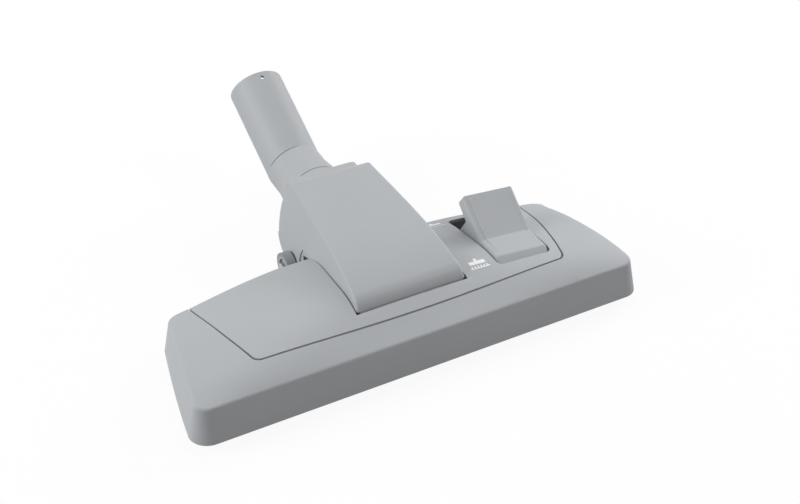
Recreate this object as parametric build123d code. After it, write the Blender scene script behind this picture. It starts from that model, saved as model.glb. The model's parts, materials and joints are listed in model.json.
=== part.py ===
from build123d import *
import os
from functools import cache
from math import cos, hypot, radians, sin, tan

# Floor nozzle for a vacuum cleaner, in millimetres. X runs along the head, Y goes back from the
# front top edge of the head and Z goes up from the sole edge. The finished pieces are moved so
# that the origin lies on the floor under the middle of the whole part.

# Head outline at the height of the front top edge
head_width = 280.0
head_depth = 95.0
front_height = 21.0
wall_draft = 11.5
head_wall = 2.2
rear_corner_x = 124.0
rear_corner_y = 84.0
end_bulge = 1.2
rear_flat_x = 52.0
front_corner_radius = 7.0
rear_corner_radius = 13.0
rear_bend_radius = 30.0
top_edge_radius = 2.2

# Crown of the head: rise over the front top edge in the middle, at the panel side and at the end
crown_middle_x = 35.0
crown_side_x = 100.0
crown_margin = 6.0
crown_rows = [
    (-9.0, -4.6, -4.2, -1.0),
    (0.0, 0.0, 0.0, 0.0),
    (15.0, 7.2, 6.3, 1.4),
    (25.0, 11.0, 7.6, 2.3),
    (45.0, 12.3, 7.3, 2.4),
    (65.0, 10.3, 4.9, 0.6),
    (82.0, 7.3, 1.5, -3.4),
    (head_depth + 9.0, 1.6, -5.2, -10.0),
]

# Inset cover panel
panel_front_x = 98.5
panel_front_y = 17.0
panel_front_bow = 2.8
panel_middle_x = 105.0
panel_middle_y = 45.0
panel_rear_x = 110.5
panel_rear_y = 84.0
panel_corner_radius = 5.0
panel_gap = 0.8
cover_skirt_height = 10.0
ledge_width = 5.0
ledge_thickness = 1.8
seat_gap = 0.15

# Tray floor and steel sole
sole_thickness = 1.2
sole_rim_gap = 0.4
floor_thickness = 2.0
mouth_front = 24.0
mouth_width = 20.0
mouth_middle_x = 31.0
mouth_bridge = 12.0
mouth_end_x = 104.0
lifter_width = 7.0
lifter_length = 200.0
lifter_thickness = 1.0
lifter_setback = 1.0

# Brush lift
brush_reach = 6.5
brush_front_y = 12.0
brush_rear_y = 71.0
brush_length = 190.0
brush_back_width = 4.4
brush_back_drop = 0.8
brush_slot_gap = 0.5
bristle_width = 3.2
tuft_pitch = 5.0
tuft_length = 3.4
beam_width = 7.0
beam_thickness = 2.5
beam_length = 224.0
beam_lift = 0.2
cross_x = 80.0
cross_width = 8.0
post_radius = 2.2
post_x = 106.0
post_height = 14.0
post_gap = 0.08

# Tilting neck: hinge axis along X, the drum round it and the wedge behind it
neck_hinge_y = 42.7
neck_hinge_rise = 5.0
neck_hinge_radius = 3.0
neck_hinge_gap = 0.08
neck_drum_radius = 20.0
neck_drum_gap = 0.7
cradle_lip_start = 300.0
cradle_lip_end = 345.0
neck_wall = 2.2
neck_half_width = 35.0
neck_taper = 0.06
neck_side_draft = 4.6
neck_side_level = 6.0
neck_slot_gap = 0.8
neck_lower_inset = 2.0
neck_lower_taper = 0.031
neck_nose_angle = 147.0
neck_middle = (17.3, 21.6)
neck_back = (57.3, 27.5)
neck_rear_top = (83.3, 30.4)
neck_rear_bulge = (96.3, 12.0)
neck_rear_low = (101.1, -14.5)
neck_floor_drop = 27.5
neck_box_front = 61.0
neck_duct_rear = 54.5
neck_duct_drop = 5.0
neck_heel_radius = 12.0
neck_edge_radius = 1.8
neck_top_edge_radius = 3.0
neck_split_gap = 0.3
neck_duct_angle = -8.0
neck_split_line = [
    (-24.0, 4.8),
    (0.0, 5.8),
    (20.0, 3.5),
    (37.0, 0.2),
    (54.5, -2.2),
    (61.0, -2.8),
    (65.0, -10.0),
    (66.5, -22.5),
    (77.0, -22.5),
    (81.0, -19.6),
    (86.0, -17.2),
    (93.3, -15.4),
    (110.0, -12.4),
]
neck_inlet_start = 205.0
neck_inlet_end = 250.0
neck_inlet_margin = 5.0
lug_thickness = 4.6
lug_half_depth = 7.0
lug_gap = 0.6
lug_roof = 1.2

# Swivel elbow with the wand socket
tube_radius = 18.0
socket_radius = 16.0
socket_depth = 45.0
duct_radius = 15.0
wand_length = 64.4
wand_angle = 28.5
swivel_angle = 5.0
elbow_offset = (138.3, 5.0)
swivel_gap = 0.08
flange_radius = 20.0
flange_thickness = 3.6
flange_start = -64.0
collar_front = -60.0
collar_rear = -33.0
collar_stand = 4.3
collar_width = 47.0
collar_rise = 26.0
collar_drop = 21.0
collar_corner = 6.0
collar_fit_gap = 0.2
flare_radius = 20.4
flare_length = 18.0
flare_gap = 0.5
seal_width = 2.6
seal_thickness = 1.8
seal_position = -46.0
lock_hole_radius = 1.3
lock_hole_setback = 4.5

# Wheels under the neck
wheel_y = 118.0
wheel_radius = 9.5
wheel_width = 5.6
wheel_inner_x = 32.4
tyre_thickness = 2.2
axle_radius = 1.75
axle_gap = 0.08
axle_fit_gap = 0.05
axle_cap_radius = 3.4
axle_cap_thickness = 1.2
wheel_side_gap = 0.3
wheel_hub_radius = 3.4
wheel_recess_radius = 6.0
wheel_recess_depth = 1.6
axle_ear_radius = 4.1

# Foot pedal, built round its own hinge axis
pedal_x = 76.3
pedal_y = 48.0
pedal_rise = 3.0
pedal_roll = 5.0
pedal_travel = 26.0
pedal_half_width = 17.8
pedal_slot_gap = 0.9
pedal_slot_front = 24.2
pedal_slot_rear = 85.3
pedal_slot_radius = 4.0
pedal_front_top = (-18.2, 8.0)
pedal_front_height = 4.2
pedal_valley = (-1.0, 8.4)
pedal_tip = (23.5, 25.4)
pedal_tip_thickness = 6.5
pedal_heel_top = (16.5, 11.8)
pedal_heel = (21.0, 4.0)
pedal_skirt_drop = 1.5
pedal_wall = 2.2
pedal_bend_radius = 2.6
pedal_edge_radius = 1.8
pedal_hub_radius = 4.2
pedal_pin_radius = 1.5
pedal_pin_gap = 0.08
pedal_lug_thickness = 2.0
pedal_lug_gap = 0.5
pedal_lug_margin = 1.6
crank_width = 4.0
peg_radius = 1.5
peg_length = 6.0
peg_gap = 0.3
bracket_thickness = 3.5
bracket_roof = 1.2
bracket_side_gap = 1.0
bracket_share = 2.5
peg_slot_share = 1.6

# Small steel pieces
screw_radius = 1.4
screw_head_radius = 3.0
screw_head_height = 1.0
screw_fit_gap = 0.05
boss_radius = 3.4
cover_screw_places = [(-92.0, 60.0), (-48.0, 82.0), (47.5, 60.0), (47.5, 82.0)]
sole_screw_places = [(-117.0, 34.0), (117.0, 34.0), (-88.0, 80.0), (88.0, 80.0)]
sole_screw_length = 6.0
neck_screw_places = [(-22.5, 110.0), (22.5, 110.0)]
neck_screw_length = 9.0
cover_screw_length = 12.0
sole_boss_height = 5.0
spring_width = 6.0
spring_thickness = 0.5
spring_x = 68.0
spring_gap = 0.15
spring_touch_angle = -45.0
spring_lean = 5.0
spring_tail = 4.0
seal_strip_height = 2.5
rib_drop = 1.0

# Places that follow from the sizes above
neck_hinge_z = front_height + neck_hinge_rise
floor_top = sole_thickness + floor_thickness
foot_spread = front_height * tan(radians(wall_draft))
beam_bottom = floor_top + beam_lift
beam_top = beam_bottom + beam_thickness
mouth_rear = mouth_front + mouth_width
crank_length = brush_reach / (2 * sin(radians(pedal_travel / 2)))
pedal_frame = Pos(pedal_x, pedal_y, front_height + pedal_rise) * Rot(0, pedal_roll, 0)
wheel_z = wheel_radius - brush_reach
brush_lines = {"front": brush_front_y, "rear": brush_rear_y}
tall = 4 * front_height
neck_floor_z = neck_hinge_z - neck_floor_drop
kink_y = neck_hinge_y + elbow_offset[0]
kink_z = neck_hinge_z + elbow_offset[1]
swivel_way = (0, cos(radians(swivel_angle)), sin(radians(swivel_angle)))
wand_way = (0, cos(radians(wand_angle)), sin(radians(wand_angle)))
mitre_angle = (swivel_angle + wand_angle) / 2
mitre_way = (0, cos(radians(mitre_angle)), sin(radians(mitre_angle)))
swivel_plane = Plane((0, kink_y, kink_z), (-1, 0, 0), swivel_way)
wand_plane = Plane((0, kink_y, kink_z), (-1, 0, 0), wand_way)
mitre_plane = Plane((0, kink_y, kink_z), (-1, 0, 0), mitre_way)
wing_run = pedal_tip[0] - pedal_valley[0]
wing_climb = pedal_tip[1] - pedal_valley[1]
wing_length = hypot(wing_run, wing_climb)
front_end = -foot_spread
rear_end = kink_y + wand_length * wand_way[1] + tube_radius * wand_way[2]


def block(x_range, y_range, z_range):
    size = [high - low for low, high in (x_range, y_range, z_range)]
    middle = [(high + low) / 2 for low, high in (x_range, y_range, z_range)]
    return Pos(*middle) * Box(*size)


def rod_x(radius, x_range, y, z):
    low, high = x_range
    return Pos((low + high) / 2, y, z) * Rot(0, 90, 0) * Cylinder(radius, high - low)


def rod_z(radius, x, y, z_range):
    low, high = z_range
    return Pos(x, y, (low + high) / 2) * Cylinder(radius, high - low)


def side_prism(outline, half_width):
    return Pos(-half_width, 0, 0) * extrude(Plane.YZ * outline, amount=2 * half_width)


def column(outline, z_range):
    low, high = z_range
    return extrude(Pos(0, 0, low) * outline, amount=high - low)


def about_hinge(point):
    return (neck_hinge_y + point[0], neck_hinge_z + point[1])


def on_drum(angle, radius=neck_drum_radius):
    turn = radians(angle)
    return about_hinge((radius * cos(turn), radius * sin(turn)))


# Head forms

def head_outline(grow):
    half = head_width / 2
    end_middle = ((half + rear_corner_x) / 2 + end_bulge, rear_corner_y / 2)
    right_end = ThreePointArc((half, 0), end_middle, (rear_corner_x, rear_corner_y))
    right_rear = Line((rear_corner_x, rear_corner_y), (rear_flat_x, head_depth))
    rear = Line((rear_flat_x, head_depth), (-rear_flat_x, head_depth))
    left = (right_end + right_rear).mirror(Plane.YZ)
    front = Line((-half, 0), (half, 0))
    face = make_face(front + right_end + right_rear + rear + left)
    corners = face.vertices().sort_by(Axis.Y)
    face = fillet(corners[:2], front_corner_radius)
    rear_corners = [v for v in face.vertices() if abs(abs(v.X) - rear_corner_x) < seat_gap]
    face = fillet(rear_corners, rear_corner_radius)
    bends = [v for v in face.vertices() if abs(abs(v.X) - rear_flat_x) < seat_gap]
    face = fillet(bends, rear_bend_radius)
    return offset(face, grow)


def crown_section(row, inset):
    y, middle, side, end = row
    reach = head_width / 2 + crown_margin
    level = front_height - inset
    stations = [(reach, end), (crown_side_x, side), (crown_middle_x, middle)]
    right = [(x, level + rise) for x, rise in stations]
    left = [(-x, z) for x, z in reversed(right)]
    top = Spline(*right, *left)
    foot = -front_height
    frame = Polyline(left[-1], (-reach, foot), (reach, foot), right[0])
    return Plane((0, y, 0), (1, 0, 0), (0, -1, 0)) * make_face(top + frame)


@cache
def head_form(inset):
    crown = loft([crown_section(row, inset) for row in crown_rows])
    foot_level = -head_wall
    spread = foot_spread - foot_level * tan(radians(wall_draft)) - inset
    walls = extrude(Pos(0, 0, foot_level) * head_outline(spread), amount=tall, taper=wall_draft)
    return walls & crown


def outer_form():
    form = head_form(0)
    crown = form.faces().filter_by(GeomType.BSPLINE).sort_by(SortBy.AREA)[-1]
    return fillet(crown.edges(), top_edge_radius)


def panel_outline(grow):
    front_x = panel_front_x + grow
    front_y = panel_front_y - grow
    side_end = (panel_rear_x + grow, panel_rear_y)
    tail_end = (side_end[0], head_depth + 2 * foot_spread)
    front = ThreePointArc((-front_x, front_y), (0, front_y - panel_front_bow), (front_x, front_y))
    right = ThreePointArc((front_x, front_y), (panel_middle_x + grow, panel_middle_y), side_end)
    right_tail = Line(side_end, tail_end)
    rear = Line(tail_end, (-tail_end[0], tail_end[1]))
    left = (right + right_tail).mirror(Plane.YZ)
    face = make_face(front + right + right_tail + rear + left)
    corners = [v for v in face.vertices() if abs(v.Y - front_y) < seat_gap]
    return fillet(corners, panel_corner_radius + grow / 2)


def neck_half_at(y):
    return neck_half_width - neck_taper * (y - neck_hinge_y + neck_drum_radius)


def neck_slot():
    front = neck_hinge_y - neck_drum_radius - neck_drum_gap
    rear = head_depth + 2 * foot_spread
    half_front = neck_half_at(front) + neck_slot_gap
    half_rear = neck_half_at(rear) + neck_slot_gap
    points = [(half_front, front), (half_rear, rear), (-half_rear, rear), (-half_front, front)]
    return make_face(Polyline(*points, close=True))


def pedal_slot():
    half = pedal_half_width + pedal_slot_gap
    middle = (pedal_slot_front + pedal_slot_rear) / 2
    shift = pedal_front_top[1] * sin(radians(pedal_roll))
    face = Pos(pedal_x + shift, middle) * Rectangle(2 * half, pedal_slot_rear - pedal_slot_front)
    return fillet(face.vertices(), pedal_slot_radius)


def mouth_windows(z_range):
    rows = (mouth_front, mouth_rear)
    side = (mouth_middle_x + mouth_bridge, mouth_end_x)
    windows = block((-mouth_middle_x, mouth_middle_x), rows, z_range)
    windows += block(side, rows, z_range)
    windows += block((-side[1], -side[0]), rows, z_range)
    return windows


def brush_slots(z_range):
    half = brush_length / 2 + brush_slot_gap
    reach = brush_back_width / 2 + brush_slot_gap
    slots = Part()
    for y in brush_lines.values():
        slots += block((-half, half), (y - reach, y + reach), z_range)
    return slots


def screw_holes(places, radius, z_range):
    holes = Part()
    for x, y in places:
        holes += rod_z(radius, x, y, z_range)
    return holes


# Head pieces

def head_shell():
    return outer_form() - head_form(head_wall)


def make_top_cover(shell):
    opening = column(panel_outline(0), (cover_skirt_height, tall))
    cover = shell & opening
    cover -= column(neck_slot(), (0, tall))
    cover -= column(pedal_slot(), (0, tall))
    bosses = screw_holes(cover_screw_places, boss_radius, (floor_top + seat_gap, tall))
    cover += bosses & head_form(head_wall / 2)
    pilot = (0, front_height)
    return cover - screw_holes(cover_screw_places, screw_radius + screw_fit_gap, pilot)


def cover_ledge():
    top_under_cover = head_form(head_wall + seat_gap)
    bottom = head_form(head_wall + seat_gap + ledge_thickness)
    above = (cover_skirt_height, tall)
    inner_ring = column(panel_outline(panel_gap), above) - column(panel_outline(-ledge_width), above)
    outer_ring = column(panel_outline(ledge_width), above) - column(panel_outline(panel_gap), above)
    ledge = (top_under_cover - bottom) & inner_ring
    ledge += (head_form(head_wall / 2) - bottom) & outer_ring
    front_part = block((-head_width, head_width), (-head_depth, panel_rear_y), (0, tall))
    return ledge & front_part


def neck_lugs():
    inner = neck_half_width - neck_lower_inset + lug_gap
    outer = inner + lug_thickness
    rows = (neck_hinge_y - lug_half_depth, neck_hinge_y + lug_half_depth)
    lug_top = neck_hinge_z + neck_hinge_radius + lug_roof
    lugs = Part()
    for side in (-1, 1):
        ends = sorted((side * inner, side * outer))
        lugs += block(ends, rows, (sole_thickness, lug_top))
        lugs -= rod_x(neck_hinge_radius + screw_fit_gap, ends, neck_hinge_y, neck_hinge_z)
    return lugs


def drum_cradle():
    half = neck_half_width - neck_lower_inset
    near = neck_drum_radius + neck_drum_gap
    far = near + neck_wall
    drum_room = rod_x(near, (-half, half), neck_hinge_y, neck_hinge_z)
    ring = rod_x(far, (-half, half), neck_hinge_y, neck_hinge_z) - drum_room
    lip_front, lip_low = on_drum(cradle_lip_start, near)
    lip_rear, lip_high = on_drum(cradle_lip_end, far)
    lip = ring & block((-half, half), (lip_front, lip_rear), (lip_low - neck_wall, lip_high))
    foot = block((-half, half), (lip_rear - neck_wall, lip_rear), (sole_thickness, lip_high))
    front_y = neck_hinge_y - near
    rib = block((-half, half), (front_y - neck_wall, front_y), (sole_thickness, front_height - rib_drop))
    return lip + foot + rib


def pedal_lugs():
    half = pedal_half_width + pedal_slot_gap + pedal_lug_gap
    top = pedal_pin_radius + pedal_lug_margin
    lugs = Part()
    for side in (-1, 1):
        ends = sorted((side * half, side * (half + pedal_lug_thickness)))
        lugs += pedal_frame * block(ends, (-top, top), (-2 * front_height, top))
    lugs -= pedal_frame * rod_x(pedal_pin_radius + screw_fit_gap, (-2 * half, 2 * half), 0, 0)
    room = (-2 * head_width, 2 * head_width)
    return lugs & block(room, room, (sole_thickness, tall))


def carriage_posts():
    posts = Part()
    for x in (-post_x, post_x):
        for y in brush_lines.values():
            posts += rod_z(post_radius, x, y, (sole_thickness, floor_top + post_height))
    return posts


def tray_floor():
    span = (-head_width, head_width)
    floor = head_form(head_wall / 2) & block(span, span, (sole_thickness, floor_top))
    floor -= mouth_windows((0, front_height))
    return floor - brush_slots((0, front_height))


def tray_cuts():
    span = (-head_width, head_width)
    cuts = block(span, span, (-front_height, 0))
    cuts += column(neck_slot(), (neck_hinge_z - neck_duct_drop - neck_slot_gap, tall))
    cuts += screw_holes(cover_screw_places, screw_radius + screw_fit_gap, (0, front_height))
    return cuts + screw_holes(sole_screw_places, screw_radius + screw_fit_gap, (0, sole_screw_length))


def make_base_housing(shell):
    base = shell - column(panel_outline(panel_gap), (cover_skirt_height - panel_gap, tall))
    base += cover_ledge()
    extras = tray_floor() + neck_lugs() + drum_cradle() + pedal_lugs() + carriage_posts()
    extras += screw_holes(sole_screw_places, boss_radius, (sole_thickness, floor_top + sole_boss_height))
    return base + extras - tray_cuts()


def make_sole_plate():
    level = foot_spread - head_wall - sole_rim_gap
    plate = column(head_outline(level), (0, sole_thickness))
    through = (-sole_thickness, front_height)
    plate -= mouth_windows(through)
    plate -= brush_slots(through)
    plate -= screw_holes(cover_screw_places, screw_head_radius + 2 * screw_fit_gap, through)
    return plate - screw_holes(sole_screw_places, screw_radius + screw_fit_gap, through)


def make_thread_lifter(y_low):
    half = lifter_length / 2
    return block((-half, half), (y_low, y_low + lifter_width), (-lifter_thickness, 0))


def make_drum_seal():
    half = neck_half_width - neck_lower_inset - neck_wall
    front_y = neck_hinge_y - neck_drum_radius - neck_drum_gap
    rib_top = front_height - rib_drop
    return block((-half, half), (front_y - neck_wall, front_y), (rib_top, rib_top + seal_strip_height))


def make_neck_pin(side):
    inner = neck_half_width - neck_lower_inset - neck_wall
    outer = neck_half_width - neck_lower_inset + lug_gap + lug_thickness
    ends = sorted((side * inner, side * outer))
    return rod_x(neck_hinge_radius, ends, neck_hinge_y, neck_hinge_z)


def make_pedal_pin():
    half = pedal_half_width + pedal_slot_gap + pedal_lug_gap + pedal_lug_thickness
    return pedal_frame * rod_x(pedal_pin_radius, (-half, half), 0, 0)


def make_detent_spring():
    turn = radians(spring_touch_angle)
    touch = pedal_hub_radius + spring_gap + spring_thickness / 2
    hinge_z = front_height + pedal_rise + (pedal_x - spring_x) * sin(radians(pedal_roll))
    nose = (pedal_y + touch * cos(turn), hinge_z + touch * sin(turn))
    foot_z = floor_top + spring_thickness / 2
    knee = (nose[0] + spring_lean, foot_z)
    tail = (nose[0] + spring_tail, nose[1] + spring_tail)
    toe = (knee[0] + spring_width, foot_z)
    leaf = trace(Polyline(tail, nose, knee, toe), spring_thickness)
    return Pos(spring_x, 0, 0) * side_prism(leaf, spring_width / 2)


def make_screws(places, head_top, length):
    screws = Part()
    for x, y in places:
        head = rod_z(screw_head_radius, x, y, (head_top - screw_head_height, head_top))
        screws += head + rod_z(screw_radius, x, y, (head_top - screw_fit_gap, head_top + length))
    return screws


# Brush lift

def make_brush_carriage():
    half = beam_length / 2
    reach = beam_width / 2
    heights = (beam_bottom, beam_top)
    frame = Part()
    for y in brush_lines.values():
        frame += block((-half, half), (y - reach, y + reach), heights)
    for x in (-cross_x, cross_x):
        sides = (x - cross_width / 2, x + cross_width / 2)
        frame += block(sides, (brush_front_y, brush_rear_y), heights)
    for x in (-post_x, post_x):
        for y in brush_lines.values():
            frame -= rod_z(post_radius + post_gap, x, y, (0, front_height))
    return frame + make_crank_bracket()


def crank_peg_place():
    turn = radians(180 + pedal_travel / 2)
    return (crank_length * cos(turn), crank_length * sin(turn))


def make_crank_bracket():
    peg_y, peg_z = crank_peg_place()
    slot_half = peg_radius + peg_gap
    low_x = crank_width / 2 + bracket_side_gap
    sides = (low_x, low_x + bracket_thickness)
    rows = (peg_y - bracket_share * slot_half, peg_y + bracket_share * slot_half)
    post = pedal_frame * block(sides, rows, (-2 * front_height, peg_z + slot_half + bracket_roof))
    wide = (-head_width, head_width)
    post &= block(wide, wide, (beam_bottom, tall))
    slot_rows = (peg_y - peg_slot_share * slot_half, peg_y + peg_slot_share * slot_half)
    return post - pedal_frame * block(wide, slot_rows, (peg_z - slot_half, peg_z + slot_half))


def make_brush_back(y):
    half = brush_length / 2
    reach = brush_back_width / 2
    return block((-half, half), (y - reach, y + reach), (-brush_back_drop, beam_bottom))


def make_bristles(y):
    half = bristle_width / 2
    count = int((brush_length - tuft_length) / tuft_pitch)
    tufts = Part()
    for i in range(count + 1):
        x = (i - count / 2) * tuft_pitch
        sides = (x - tuft_length / 2, x + tuft_length / 2)
        tufts += block(sides, (y - half, y + half), (-brush_reach, -brush_back_drop))
    return tufts


# Tilting neck

@cache
def neck_profile(inset):
    radius = neck_drum_radius - inset
    nose = on_drum(neck_nose_angle, radius)
    middle = about_hinge((neck_middle[0], neck_middle[1] - inset))
    back = about_hinge((neck_back[0], neck_back[1] - inset))
    rear_top = about_hinge((neck_rear_top[0] - inset, neck_rear_top[1] - inset))
    rear_bulge = about_hinge((neck_rear_bulge[0] - inset, neck_rear_bulge[1]))
    rear_low = about_hinge((neck_rear_low[0] - inset, neck_rear_low[1]))
    floor_z = neck_floor_z + inset
    heel = (rear_low[0] + inset - neck_heel_radius, floor_z)
    box_front = neck_hinge_y + neck_box_front + inset
    duct_z = neck_hinge_z - neck_duct_drop + inset
    duct_rear = (neck_hinge_y + neck_duct_rear + inset / 2, duct_z)
    drum_exit = on_drum(neck_duct_angle, radius)
    drum_low = on_drum(neck_nose_angle / 2 + 180, radius)
    top = Spline(nose, middle, back, rear_top)
    rear = ThreePointArc(rear_top, rear_bulge, rear_low)
    heel_arc = TangentArc(heel, rear_low, tangent=(1, 0))
    box_low = (box_front, floor_z)
    under = Polyline(heel, box_low, (box_front, duct_z - neck_wall), duct_rear, drum_exit)
    drum = ThreePointArc(drum_exit, drum_low, nose)
    face = make_face(top + rear + heel_arc + under + drum)
    corner = face.vertices().sort_by_distance((*rear_top, 0))[0]
    return fillet(corner, neck_top_edge_radius - inset)


def above_split(shift):
    line = [about_hinge((y, z + shift)) for y, z in neck_split_line]
    return make_face(Polyline(*line, (line[-1][0], tall), (line[0][0], tall), close=True))


def neck_wedge(inset):
    near = neck_hinge_y - 2 * neck_drum_radius
    far = neck_hinge_y + neck_rear_low[0] + neck_drum_radius
    foot = -front_height
    spread = (neck_hinge_z + neck_side_level - foot) * tan(radians(neck_side_draft)) - inset
    half_near = neck_half_at(near) + spread
    half_far = neck_half_at(far) + spread
    corners = [(half_near, near), (half_far, far), (-half_far, far), (-half_near, near)]
    plan = make_face(Polyline(*corners, close=True))
    return extrude(Pos(0, 0, foot) * plan, amount=tall + front_height, taper=neck_side_draft)


def trunk_half_at(y):
    return neck_half_width - neck_lower_inset - neck_lower_taper * (y - neck_hinge_y + neck_drum_radius)


def neck_trunk(inset):
    near = neck_hinge_y - 2 * neck_drum_radius
    far = neck_hinge_y + neck_rear_low[0] + neck_drum_radius
    half_near = trunk_half_at(near) - inset
    half_far = trunk_half_at(far) - inset
    corners = [(half_near, near), (half_far, far), (-half_far, far), (-half_near, near)]
    return column(make_face(Polyline(*corners, close=True)), (-front_height, tall))


def rod_along(plane, radius, span):
    low, high = span
    return plane * (Pos(0, 0, (low + high) / 2) * Cylinder(radius, high - low))


def collar_block(grow, span):
    low, high = span
    height = collar_rise + collar_drop
    face = RectangleRounded(collar_width + 2 * grow, height + 2 * grow, collar_corner + grow)
    return swivel_plane * (Pos(0, (collar_rise - collar_drop) / 2, low) * extrude(face, amount=high - low))


def make_neck_upper_shell():
    outline = neck_profile(0) & above_split(neck_split_gap / 2)
    shell = neck_wedge(0) & side_prism(outline, 2 * neck_half_width)
    long_edges = [e for e in shell.edges() if e.geom_type != GeomType.LINE and e.length > neck_split_gap]
    shell = fillet(long_edges, neck_edge_radius)
    room = neck_wedge(neck_wall) & side_prism(neck_profile(neck_wall), 2 * neck_half_width)
    shell -= room
    bosses = screw_holes(neck_screw_places, boss_radius, (neck_floor_z + neck_wall + seat_gap, tall))
    shell += bosses & side_prism(neck_profile(neck_wall / 2), 2 * neck_half_width)
    pilot = (neck_floor_z, neck_floor_z + neck_screw_length + neck_wall)
    shell -= screw_holes(neck_screw_places, screw_radius + screw_fit_gap, pilot)
    wide = (-head_width, head_width)
    shell -= rod_x(axle_ear_radius + neck_split_gap, wide, wheel_y, wheel_z)
    return shell - collar_block(collar_fit_gap, (collar_front, 0))


def make_neck_lower_shell():
    outline = neck_profile(0) - above_split(-neck_split_gap / 2)
    wide = (-head_width, head_width)
    body = side_prism(outline, 2 * neck_half_width) + rod_x(axle_ear_radius, wide, wheel_y, wheel_z)
    shell = body & neck_trunk(0)
    shell -= neck_trunk(neck_wall) & side_prism(neck_profile(neck_wall), 2 * neck_half_width)
    shell -= neck_inlet()
    shell -= rod_x(neck_hinge_radius + neck_hinge_gap, wide, neck_hinge_y, neck_hinge_z)
    shell -= rod_x(axle_radius + axle_fit_gap, wide, wheel_y, wheel_z)
    head_room = (neck_floor_z - screw_head_height, neck_floor_z + screw_head_height)
    shell -= screw_holes(neck_screw_places, screw_head_radius + 2 * screw_fit_gap, head_room)
    shell -= screw_holes(neck_screw_places, screw_radius + screw_fit_gap, (neck_floor_z, front_height))
    return shell - collar_block(collar_fit_gap, (collar_front, 0))


def neck_inlet():
    near = neck_drum_radius - 2 * neck_wall
    far = 2 * neck_drum_radius
    start = neck_inlet_start
    end = neck_inlet_end
    corners = [on_drum(start, near), on_drum(start, far), on_drum(end, far), on_drum(end, near)]
    face = make_face(Polyline(*corners, close=True))
    return side_prism(face, trunk_half_at(neck_hinge_y) - neck_inlet_margin)


def make_neck_collar():
    body = collar_block(0, (collar_front, 0))
    body &= side_prism(neck_profile(-collar_stand), 2 * neck_half_width)
    body += rod_along(swivel_plane, flare_radius, (collar_front, collar_rear))
    body -= rod_along(swivel_plane, tube_radius + swivel_gap, (2 * collar_front, 0))
    return body - rod_along(swivel_plane, tube_radius + seal_thickness, seal_span(0))


def seal_span(gap):
    half = seal_width / 2 - gap
    return (seal_position - half, seal_position + half)


def make_swivel_seal():
    ring = rod_along(swivel_plane, tube_radius + seal_thickness - screw_fit_gap, seal_span(screw_fit_gap))
    return ring - rod_along(swivel_plane, tube_radius + swivel_gap, seal_span(0))


# Swivel elbow

def bent_rod(radius, swivel_start, wand_end):
    over = 3 * tube_radius
    lower = split(rod_along(swivel_plane, radius, (swivel_start, over)), mitre_plane, keep=Keep.BOTTOM)
    upper = split(rod_along(wand_plane, radius, (-over, wand_end)), mitre_plane, keep=Keep.TOP)
    return lower + upper


def make_swivel_elbow():
    flange_end = flange_start + flange_thickness
    flare_start = collar_rear + flare_gap
    elbow = bent_rod(tube_radius, flange_start, wand_length)
    elbow += rod_along(swivel_plane, flange_radius, (flange_start, flange_end))
    flare = Cone(flare_radius, tube_radius, flare_length)
    elbow += swivel_plane * (Pos(0, 0, flare_start + flare_length / 2) * flare)
    elbow -= bent_rod(duct_radius, 2 * flange_start, 2 * wand_length)
    elbow -= rod_along(wand_plane, socket_radius, (wand_length - socket_depth, 2 * wand_length))
    hole = Pos(0, 0, wand_length - lock_hole_setback) * Rot(-90, 0, 0) * Pos(0, 0, -tube_radius)
    return elbow - wand_plane * (hole * Cylinder(lock_hole_radius, tube_radius))


# Wheels

def side_range(side, low, high):
    return sorted((side * low, side * high))


def make_wheel(side):
    outer_x = wheel_inner_x + wheel_width
    hub_x = trunk_half_at(wheel_y) + wheel_side_gap
    rim = wheel_radius - tyre_thickness
    wheel = rod_x(rim, side_range(side, wheel_inner_x, outer_x), wheel_y, wheel_z)
    wheel += rod_x(wheel_hub_radius, side_range(side, hub_x, outer_x), wheel_y, wheel_z)
    dish = side_range(side, outer_x - wheel_recess_depth, outer_x)
    groove = rod_x(wheel_recess_radius, dish, wheel_y, wheel_z)
    wheel -= groove - rod_x(wheel_hub_radius, dish, wheel_y, wheel_z)
    return wheel - rod_x(axle_radius + axle_gap, side_range(side, 0, head_width), wheel_y, wheel_z)


def make_tyre(side):
    span = side_range(side, wheel_inner_x, wheel_inner_x + wheel_width)
    rim = wheel_radius - tyre_thickness + axle_fit_gap
    return rod_x(wheel_radius, span, wheel_y, wheel_z) - rod_x(rim, span, wheel_y, wheel_z)


def axle_end():
    return wheel_inner_x + wheel_width + wheel_side_gap + axle_cap_thickness


def make_wheel_axle():
    return rod_x(axle_radius, (-axle_end(), axle_end()), wheel_y, wheel_z)


def make_axle_caps():
    caps = Part()
    for side in (-1, 1):
        span = side_range(side, axle_end() - axle_cap_thickness, axle_end())
        caps += rod_x(axle_cap_radius, span, wheel_y, wheel_z)
    return caps - rod_x(axle_radius + axle_fit_gap, (-head_width, head_width), wheel_y, wheel_z)


# Foot pedal

def on_wing(along, below):
    run = wing_run / wing_length
    climb = wing_climb / wing_length
    y = pedal_valley[0] + along * run + below * climb
    return (y, pedal_valley[1] + along * climb - below * run)


def pedal_outline():
    front_y = pedal_slot_front + pedal_slot_gap - pedal_y
    bottom = -pedal_skirt_drop
    points = [
        (front_y, bottom),
        (front_y, pedal_front_height),
        pedal_front_top,
        pedal_valley,
        pedal_tip,
        on_wing(wing_length, pedal_tip_thickness),
        pedal_heel_top,
        pedal_heel,
        (pedal_heel[0], bottom),
    ]
    face = make_face(Polyline(*points, close=True))
    bends = face.vertices().sort_by_distance((*pedal_front_top, 0))[:1]
    bends += face.vertices().sort_by_distance((*pedal_valley, 0))[:1]
    return fillet(bends, pedal_bend_radius)


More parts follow.
